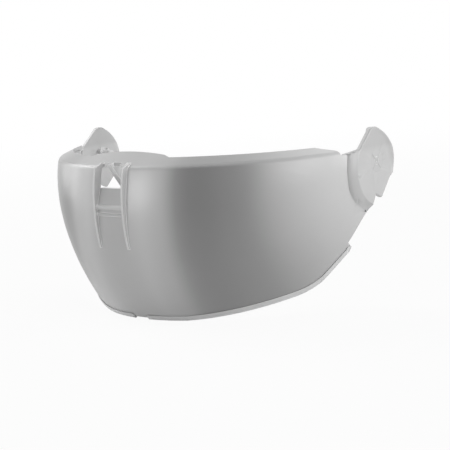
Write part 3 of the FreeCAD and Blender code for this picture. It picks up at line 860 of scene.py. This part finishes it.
@dataclass
class VisorShell(RoundedMoulding):
    """The moulded shield: soft steps to the ears, ears that lean out at their low rear corner and
    have a rounded toe, and a painted highlight that makes fins, prongs and window edges paler.

    Sizes are in millimetres from the pivot, apart from ratios, angles and those times MM.
    """

    pivot: Vector = field(default_factory=Vector)
    lens: LensForm = LensForm()
    join: float = 0.06 * MM
    bend_from: float = 103.0
    bend_rows: int = 3
    slope_across: tuple[float, float] = (0.55, 0.85)
    slope_ahead: tuple[float, float] = (0.5, 0.85)
    slope_up: float = 0.5
    step_least: float = 2.5
    row_least: float = 0.7
    foot_power: float = 0.5
    foot_margin: float = 0.01
    lean: float = 1.1
    lean_from: float = -5.0
    lean_run: float = 12.0
    lean_front: float = 10.0
    toe: tuple[float, float] = (3.0, 22.0)
    toe_least: float = 1.0
    toe_margin: float = 0.5
    toe_round: float = 0.6 * MM
    toe_parts: int = 5
    middle_half: float = 11.6
    middle_low: float = -40.0
    fin_inner: float = 9.7
    fin_rear: float = 103.5
    prong_rear: float = 90.0
    prong_span: tuple[float, float] = (-8.0, 9.0)
    lens_margin: float = 0.3
    seat_reach: float = 7.5
    bar: tuple[float, float, float, float] = (-18.2, -16.6, -15.9, -11.5)
    # painted highlight on the bar's upper faces
    painted_bar_light: float = 0.4
    rim_from: float = 8.6
    rim_facing: float = 0.5
    crown_reach: float = 14.0
    # painted highlight on the ear rims
    painted_ear_rim_light: float = 0.45
    # painted highlight on the prongs' faces and edges, and a painted glow past 1
    painted_prong_light: float = 1.7
    painted_prong_edge_light: float = 3.5
    # painted highlight on the fins' faces
    painted_fin_light: float = 0.6
    # faint painted highlight on the other rounded edges
    painted_edge_light: float = 0.08

    def spot(self, place: Vector) -> tuple[float, float, float]:
        """A place as millimetres aside, ahead of the pivot and above it."""
        here = (place - self.pivot) / MM
        return abs(here.x), -here.y, here.z

    def soften(self, form: Form) -> None:
        """Shape the steps, the leaning corners and the toes.

        Args:
            form: the mesh being worked on.
        """
        self.shape_steps(form)
        self.lean_corners(form)
        toes = [edge for edge in form.edges if self.is_toe(edge)]
        rounded(form, toes, self.toe_round, self.toe_parts, clamp=True)
        LOG.info("ears: %d toe edges rounded", len(toes))

    def is_slope(self, face: Face) -> bool:
        """Whether a face belongs to the slanted outer face of the step between lens and ear.

        Args:
            face: the face.

        Returns:
            Whether it does.
        """
        centre = face.calc_center_median()
        if self.spot(centre)[0] <= self.bend_from or face.normal.x * centre.x <= 0:
            return False
        across, ahead, up = (abs(part) for part in face.normal)
        slanted = self.slope_across[0] < across < self.slope_across[1]
        return slanted and self.slope_ahead[0] < ahead < self.slope_ahead[1] and up < self.slope_up

    def shape_steps(self, form: Form) -> None:
        """Give the step to each ear a steep foot and a head that rolls softly into the ear.

        Args:
            form: the mesh being worked on.
        """
        slopes = {face for face in form.faces if self.is_slope(face)}
        touched = {vert for face in slopes for vert in face.verts}
        head = max(abs(vert.co.x) for vert in touched)
        feet = sorted(
            (vert.co.z, abs(vert.co.x)) for vert in touched
            if head - abs(vert.co.x) > self.step_least * MM
            and not slopes.issuperset(vert.link_faces)
        )
        long = [
            edge for edge in form.edges
            if any(face in slopes for face in edge.link_faces)
            and abs(abs(edge.verts[0].co.x) - abs(edge.verts[1].co.x)) > self.row_least * MM
        ]
        bmesh.ops.subdivide_edges(form, edges=long, cuts=self.bend_rows, use_grid_fill=True)
        inside = {vert for face in form.faces if self.is_slope(face) for vert in face.verts}
        for vert in inside:
            foot = self.at_height(feet, vert.co.z)
            share = (abs(vert.co.x) - foot) / (head - foot)
            if self.foot_margin < share < 1:
                aside = foot + (head - foot) * share ** self.foot_power
                vert.co.x = math.copysign(aside, vert.co.x)
        LOG.info("steps: %d long edges cut, %d points moved", len(long), len(inside))

    def lean_corners(self, form: Form) -> None:
        """Let the low rear corner of each ear lean out.

        Args:
            form: the mesh being worked on.
        """
        for vert in form.verts:
            aside, ahead, up = self.spot(vert.co)
            if aside > self.bend_from and ahead < self.lean_front and up < self.lean_from:
                lean = self.lean * min(1.0, (self.lean_from - up) / self.lean_run)
                lean *= min(1.0, (self.lean_front - ahead) / self.lean_front)
                vert.co.x += math.copysign(lean * MM, vert.co.x)

    def is_toe(self, edge: Edge) -> bool:
        """Whether an edge runs through the ear at the low corner in front of its notch.

        Args:
            edge: the edge.

        Returns:
            Whether it does.
        """
        first, second = (self.spot(vert.co) for vert in edge.verts)
        width, height = abs(first[0] - second[0]), abs(first[2] - second[2])
        back = (first[1] + second[1]) / 2 + self.toe[0]
        below = (first[2] + second[2]) / 2 + self.toe[1]
        is_near = math.hypot(back, below) < self.toe_margin
        return first[0] > self.bend_from and width > max(self.toe_least, height) and is_near

    @staticmethod
    def at_height(feet: Sequence[tuple[float, float]], height: float) -> float:
        """How far aside the foot of the step lies at a height.

        Args:
            feet: heights and distances, in rising order of height.
            height: the height.

        Returns:
            The distance aside.
        """
        for (low, first), (high, second) in zip(feet, feet[1:]):
            if low <= height <= high and high > low:
                return first + (second - first) * (height - low) / (high - low)
        return feet[0][1] if height < feet[0][0] else feet[-1][1]

    def is_tangled(self, vert: Vert) -> bool:
        """Whether a point lies on the outline of the upper half of an ear."""
        aside, ahead, up = self.spot(vert.co)
        return aside > self.bend_from and up > self.rim_from and abs(ahead) < self.crown_reach

    def stays_sharp(self, edge: Edge) -> bool:
        """Whether an edge belongs to the seat of a pivot, which the retainer fills."""
        aside, ahead, up = self.spot((edge.verts[0].co + edge.verts[1].co) / 2)
        return aside > self.bend_from and math.hypot(ahead, up) < self.seat_reach

    def painted_light_value(self, face: Face, on_edge: bool) -> float:
        """The value of a face's "rim", its painted highlight: high on fins, prongs and the window's
        edges.

        Args:
            face: the face.
            on_edge: whether it belongs to a rounded edge.

        Returns:
            The value, up to 1 for painted highlight and past 1 for painted glow.
        """
        aside, ahead, up = self.spot(face.calc_center_median())
        on_ear = aside > self.bend_from and up > self.rim_from
        # painted highlight on the ear rims
        if on_ear and abs(face.normal.x) < self.rim_facing:
            return self.painted_ear_rim_light
        behind = up > 0.0 and ahead < self.prong_rear
        # faint painted highlight on rounded edges away from the middle
        if aside > self.middle_half or up < self.middle_low or behind:
            return self.painted_edge_light if on_edge else 0.0
        stands_out = ahead - self.lens.ahead(aside, min(up, 0.0))
        is_behind_lens = stands_out < -self.lens.wall - self.lens_margin
        # the prongs sit in shade behind the lens; painted highlight and glow make them light
        if is_behind_lens and self.prong_span[0] < up < self.prong_span[1]:
            return self.painted_prong_edge_light if on_edge else self.painted_prong_light
        # painted highlight on the bar's lower edges and upper faces
        if aside < self.fin_inner and self.bar[0] < up < self.bar[3]:
            if on_edge:
                return 1.0 if up < self.bar[1] else 0.0
            return self.painted_bar_light if up > self.bar[2] else 0.0
        # painted highlight on the other rounded edges in the middle, and on the fins' faces
        if on_edge:
            return 1.0
        is_proud = stands_out > self.lens_margin or (up > 0.0 and ahead > self.fin_rear)
        return self.painted_fin_light if aside > self.fin_inner and is_proud else 0.0


@dataclass
class LowerEdging:
    """One length of clear channel, pressed over the lower edge of the lens from front to tail.

    Sizes are in millimetres from the pivot.
    """

    side: Side
    pivot: Vector
    lens: LensForm
    start: float = 5.0
    drop: float = 82.0
    end_up: float = -49.0
    hem_ahead: float = 84.5
    jaw: tuple[tuple[float, float], ...] = ((39.8, -73.1), (31.2, -70.2), (25.2, -66.6))
    tail: tuple[tuple[float, float], ...] = ((13.4, -53.2), (11.7, -50.6), (14.4, -46.6))
    spacing: float = 1.5
    tail_spacing: float = 0.375
    play: float = 0.05
    cheek: float = 0.5
    floor: float = 0.9
    height: float = 2.6
    groove: float = 0.22
    lip: float = 0.2

    def route(self) -> list[tuple[float, float, float]]:
        """The lower edge of the lens as (aside, ahead, up) places, from the front to the tail.

        Returns:
            The places in millimetres from the pivot.
        """
        corner = self.lens.aside(self.hem_ahead, -self.drop)
        count = int((corner - self.start) / self.spacing)
        places = []
        for i in range(count + 1):
            aside = self.start + (corner - self.start) * i / count
            places.append((aside, self.lens.ahead(aside, -self.drop), -self.drop))
        side_view = line((self.hem_ahead, -self.drop), self.jaw[0], self.spacing)
        side_view += arc(*self.jaw, self.spacing)
        side_view += line(self.jaw[2], self.tail[0], self.spacing)
        side_view += arc(*self.tail, self.tail_spacing)
        for ahead, up in side_view:
            if up < self.end_up:
                places.append((self.lens.aside(ahead, up), ahead, up))
        return places

    def path(self) -> Mesh:
        """The middle of the wall along the lower edge, with its outward direction at each point.

        Returns:
            A mesh of one chain of edges.
        """
        sign = self.side.value
        points, normals = [], []
        for aside, ahead, up in self.route():
            normal = self.lens.outward(aside, ahead, up)
            place = Vector((aside, -ahead, up)) - normal * self.lens.wall / 2
            points.append(self.pivot + Vector((sign * place.x, place.y, place.z)) * MM)
            normals.append(Vector((sign * normal.x, normal.y, normal.z)))
        if self.side is Side.LEFT:
            points.reverse()
            normals.reverse()
        mesh = bpy.data.meshes.new("edging_path")
        mesh.from_pydata(points, [(i, i + 1) for i in range(len(points) - 1)], [])
        outward = mesh.attributes.new("outward", "FLOAT_VECTOR", "POINT")
        for entry, normal in zip(outward.data, normals):
            entry.vector = normal
        return mesh

    def section(self) -> Object:
        """The channel's section: two cheeks with rounded lips, a groove in each, and the floor.

        Returns:
            A passing object that holds the closed outline.
        """
        inner = self.lens.wall / 2 + self.play
        outer = inner + self.cheek
        middle = (inner + outer) / 2
        foot = self.play + self.floor
        half = [
            (inner, self.play),
            (inner, self.lip - self.height),
            (middle, -self.height),
            (outer, self.lip - self.height),
            (outer, -2 * self.groove),
            (outer - self.groove, -self.groove),
            (outer - self.groove, 0.0),
            (outer, self.groove),
            (outer, foot - 2 * self.lip),
            (outer - self.lip / 2, foot - self.lip / 2),
            (outer - 2 * self.lip, foot),
        ]
        outline = half + [(-x, y) for x, y in reversed(half)]
        edges = [(i, (i + 1) % len(outline)) for i in range(len(outline))]
        mesh = bpy.data.meshes.new("edging_section")
        mesh.from_pydata([(x * MM, y * MM, 0) for x, y in outline], edges, [])
        holder = bpy.data.objects.new("edging_section", mesh)
        bpy.context.scene.collection.objects.link(holder)
        return holder

    def tree(self) -> Tree:
        """The sweep: the section carried along the path, square to the lens.

        Returns:
            The tree.
        """
        tree = Tree("edging_sweep", {"Section": "Object"})
        path = tree.add("GeometryNodeMeshToCurve", {0: tree.given("Mesh")})
        outward = tree.add(
            "GeometryNodeInputNamedAttribute", {"Name": "outward"}, data_type="FLOAT_VECTOR"
        )
        turned = tree.add(
            "GeometryNodeSetCurveNormal",
            {"Curve": path.outputs[0], "Normal": outward.outputs[0]},
            mode="FREE",
        )
        held = tree.add("GeometryNodeObjectInfo", {0: tree.given("Section")})
        section = tree.add("GeometryNodeMeshToCurve", {0: held.outputs["Geometry"]})
        swept = tree.add("GeometryNodeCurveToMesh", {
            "Curve": turned.outputs[0], "Profile Curve": section.outputs[0], "Fill Caps": True,
        })
        tree.close(swept.outputs[0])
        return tree

    def mesh(self, finish: Material) -> Mesh:
        """Sweep the channel.

        Args:
            finish: its material.

        Returns:
            The finished mesh.
        """
        section = self.section()
        made = self.tree().run(self.path(), {"Section": section, "Finish": finish})
        bpy.data.objects.remove(section)
        return smoothed(made)


@dataclass
class StarRetainer:
    """The outer star on the end of a hub's stem: a thin web in its recess, with raised arms.

    Sizes are in millimetres; the faces are given by their distance from the middle plane.
    """

    side: Side
    pivot: Vector
    inner_face: float = 107.8
    face: float = 108.45
    raised: float = 0.3
    web_radius: float = 6.65
    reach: float = 6.1
    arm_width: float = 0.9
    ring_radius: float = 1.9
    eye_radius: float = 0.8
    arms: int = 4
    slant: float = math.radians(45)
    round_parts: int = 64

    def tree(self) -> Tree:
        """The star: one arm repeated about the axis, joined to the ring and the web, and bored.

        Returns:
            The tree.
        """
        sizes = ("Web", "Rise", "Reach", "Arm Width", "Web Radius", "Ring Radius", "Eye Radius")
        kinds = dict.fromkeys((*sizes, "Slant"), "Float")
        tree = Tree("star", {**kinds, "Arms": "Int", "Place": "Vector"})
        rise, reach, count = (tree.given(name) for name in ("Rise", "Reach", "Arms"))
        cube = tree.add("GeometryNodeMeshCube", {
            "Size": tree.triple(X=rise, Y=reach, Z=tree.given("Arm Width")),
        })
        shift = tree.triple(Y=tree.number("MULTIPLY", reach, 0.5))
        seats = tree.add("GeometryNodeMeshLine", {"Count": count, "Offset": (0, 0, 0)})
        index = tree.add("GeometryNodeInputIndex")
        part = tree.number("DIVIDE", FULL_TURN, count)
        turn = tree.number("MULTIPLY", index.outputs[0], part)
        turn = tree.number("ADD", turn, tree.given("Slant"))
        arms = tree.add("GeometryNodeInstanceOnPoints", {
            "Points": seats.outputs[0],
            "Instance": tree.shifted(cube.outputs[0], Translation=shift),
            "Rotation": tree.triple(X=turn),
        })
        real = tree.add("GeometryNodeRealizeInstances", {0: arms.outputs[0]})
        ring = self.disc(tree, tree.given("Ring Radius"), rise)
        web = self.disc(tree, tree.given("Web Radius"), tree.given("Web"))
        eye = self.disc(tree, tree.given("Eye Radius"), tree.number("MULTIPLY", rise, 2.0))
        star = tree.boolean("UNION", {"Self Intersection": True}, (real.outputs[0], ring, web))
        bored = tree.boolean("DIFFERENCE", {"Mesh 1": star}, (eye,))
        tree.close(tree.shifted(bored, Translation=tree.given("Place")))
        return tree

    def disc(self, tree: Tree, radius: Socket, depth: Socket) -> Socket:
        """A round disc about the axis of the hub.

        Args:
            tree: the tree it belongs to.
            radius: its radius.
            depth: its thickness.

        Returns:
            The disc's geometry.
        """
        drum = tree.add("GeometryNodeMeshCylinder", {
            "Vertices": self.round_parts, "Radius": radius, "Depth": depth,
        })
        return tree.shifted(drum.outputs[0], Rotation=(0.0, QUARTER_TURN, 0.0))

    def mesh(self, finish: Material) -> Mesh:
        """Make the star.

        Args:
            finish: its material.

        Returns:
            The finished mesh.
        """
        web = self.face - self.inner_face
        middle = self.side.value * (self.face - web / 2) * MM
        values = {
            "Web": web * MM,
            "Rise": (web + 2 * self.raised) * MM,
            "Reach": self.reach * MM,
            "Arm Width": self.arm_width * MM,
            "Web Radius": self.web_radius * MM,
            "Ring Radius": self.ring_radius * MM,
            "Eye Radius": self.eye_radius * MM,
            "Slant": self.slant,
            "Arms": self.arms,
            "Place": (middle, self.pivot.y, self.pivot.z),
            "Finish": finish,
        }
        return smoothed(self.tree().run(bpy.data.meshes.new("star_start"), values))


@dataclass(frozen=True)
class Lamp:
    """A soft lamp: degrees from the front and above level, metres away, its size, and watts."""

    name: str
    bearing: float
    height: float
    distance: float
    size: tuple[float, float]
    power: float


LAMPS = (
    Lamp("lamp_left", -90.0, 15.0, 1.3, (0.6, 0.8), 3.9),
    Lamp("lamp_left_high", -90.0, 45.0, 1.3, (0.6, 0.8), 4.8),
    Lamp("lamp_left_front", -65.0, 15.0, 1.3, (0.5, 0.8), 0.4),
    Lamp("lamp_front", -18.0, 9.0, 1.3, (0.42, 0.34), 3.0),
    Lamp("lamp_right_front", 62.0, 30.0, 1.4, (0.3, 0.7), 1.0),
    Lamp("lamp_right", 82.0, 15.0, 1.4, (0.6, 0.8), 4.8),
    Lamp("lamp_right_rear", 120.0, 15.0, 1.4, (0.6, 0.8), 6.9),
    Lamp("lamp_rear", 180.0, 45.0, 1.4, (1.0, 0.6), 2.4),
    Lamp("lamp_above", 20.0, 80.0, 1.2, (0.9, 0.9), 3.0),
)


@dataclass
class Studio:
    """Floor, world, lamps and camera. The camera's place is in millimetres, the rest in metres."""

    floor_half: float = 12.0
    floor_drop: float = 0.2 * MM
    ambient: float = 0.1
    lit_place: tuple[float, float, float] = (0.0, 0.0, 0.05)
    lens_mm: float = 96.0
    sensor_mm: float = 36.0
    clip_start: float = 0.01
    place_mm: tuple[float, float, float] = (456.72, -553.98, 164.46)
    right: tuple[float, float, float] = (0.79801, 0.59921, -0.06418)
    up: tuple[float, float, float] = (-0.04709, 0.16817, 0.98463)
    forward: tuple[float, float, float] = (-0.60080, 0.78273, -0.16242)

    def build(self) -> None:
        """Set the whole studio up."""
        self.add_floor()
        self.light_world()
        for lamp in LAMPS:
            self.add_lamp(lamp)
        self.add_camera()

    def add_floor(self) -> None:
        """A wide floor just under the object."""
        half = self.floor_half
        corners = [(-half, -half), (half, -half), (half, half), (-half, half)]
        mesh = bpy.data.meshes.new("floor")
        mesh.from_pydata([(x, y, -self.floor_drop) for x, y in corners], [], [(0, 1, 2, 3)])
        mesh.materials.append(StudioWhite().build())
        floor = bpy.data.objects.new("floor", mesh)
        bpy.context.scene.collection.objects.link(floor)

    def light_world(self) -> None:
        """Soft even light, seen as white by the camera, by gloss and through clear plastic."""
        n = Nodes(bpy.data.worlds.new("studio"))
        soft = n.add("ShaderNodeBackground", Color=(1, 1, 1, 1), Strength=self.ambient)
        white = n.add("ShaderNodeBackground", Color=(1, 1, 1, 1))
        seen = n.blend(n.white_ray(), soft, white)
        bpy.context.scene.world = n.close(seen, "ShaderNodeOutputWorld")

    def add_lamp(self, lamp: Lamp) -> None:
        """A large soft lamp that faces the object.

        Args:
            lamp: where it stands and how strong it is.
        """
        bearing, height = math.radians(lamp.bearing), math.radians(lamp.height)
        level = math.cos(height)
        way = Vector((math.sin(bearing) * level, -math.cos(bearing) * level, math.sin(height)))
        light = bpy.data.lights.new(lamp.name, "AREA")
        light.shape = "RECTANGLE"
        light.size, light.size_y = lamp.size
        light.energy = lamp.power
        holder = bpy.data.objects.new(lamp.name, light)
        holder.location = Vector(self.lit_place) + way * lamp.distance
        holder.rotation_euler = (-way).to_track_quat("-Z", "Y").to_euler()
        bpy.context.scene.collection.objects.link(holder)

    def add_camera(self) -> None:
        """The camera, where the photograph was taken from."""
        camera = bpy.data.cameras.new("camera")
        camera.sensor_width = self.sensor_mm
        camera.lens = self.lens_mm
        camera.clip_start = self.clip_start
        holder = bpy.data.objects.new("camera", camera)
        axes = (Vector(self.right), Vector(self.up), -Vector(self.forward))
        turn = Matrix([[axis[row] for axis in axes] for row in range(3)]).to_4x4()
        holder.matrix_world = Matrix.Translation(Vector(self.place_mm) * MM) @ turn
        bpy.context.scene.collection.objects.link(holder)
        bpy.context.scene.camera = holder


def dress(frame: dict) -> None:
    """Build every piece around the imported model.
    """
    finishes = {
        "shell": SmokeShell().build(),
        "edging": PlainMoulding("clear_edging", grey(0.74), roughness=0.3).build(),
        "hub": PlainMoulding("hub_plastic", grey(0.75), shade=0.94).build(),
        "washer": PlainMoulding("washer_nylon", grey(0.72)).build(),
        "retainer": PlainMoulding("retainer_plastic", grey(0.56), shade=0.96).build(),
    }
    record = frame["record"]
    bodies = {
        node: body for body, nodes in record["behaviour"]["bodies"].items() for node in nodes
    }
    slots = {part["node"]: part["material_slot"] for part in record["subparts"]}
    joint = frame["joints"][0]["pos_m"]
    pivot = Vector((0.0, joint[1], joint[2]))
    lens = LensForm()
    made = {}
    for side in Side:
        hand = side.name.lower()
        made[f"lower_edging_{hand}"] = LowerEdging(side, pivot, lens)
        made[f"star_retainer_{hand}"] = StarRetainer(side, pivot)
    shell = VisorShell(pivot=pivot, lens=lens)
    small = RoundedMoulding(edge_round=SMALL_ROUND)
    for name, node in sorted(frame["nodes"].items()):
        slot = slots[name]
        finish = finishes["retainer" if name.startswith("star") else slot]
        if name in made:
            mesh = made[name].mesh(finish)
        elif slot == "shell":
            mesh = shell.mesh(node)
        else:
            mesh = small.mesh(node)
        Piece(f"{name}_dressed", bodies[name], slot, name, finish).set_down(mesh)


def main() -> None:
    """Load the frame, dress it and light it."""
    logging.basicConfig(level=logging.INFO, format="%(name)s %(message)s")
    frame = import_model()
    bpy.context.scene.view_settings.view_transform = "Standard"
    dress(frame)
    Studio().build()


if __name__ == "__main__":
    main()
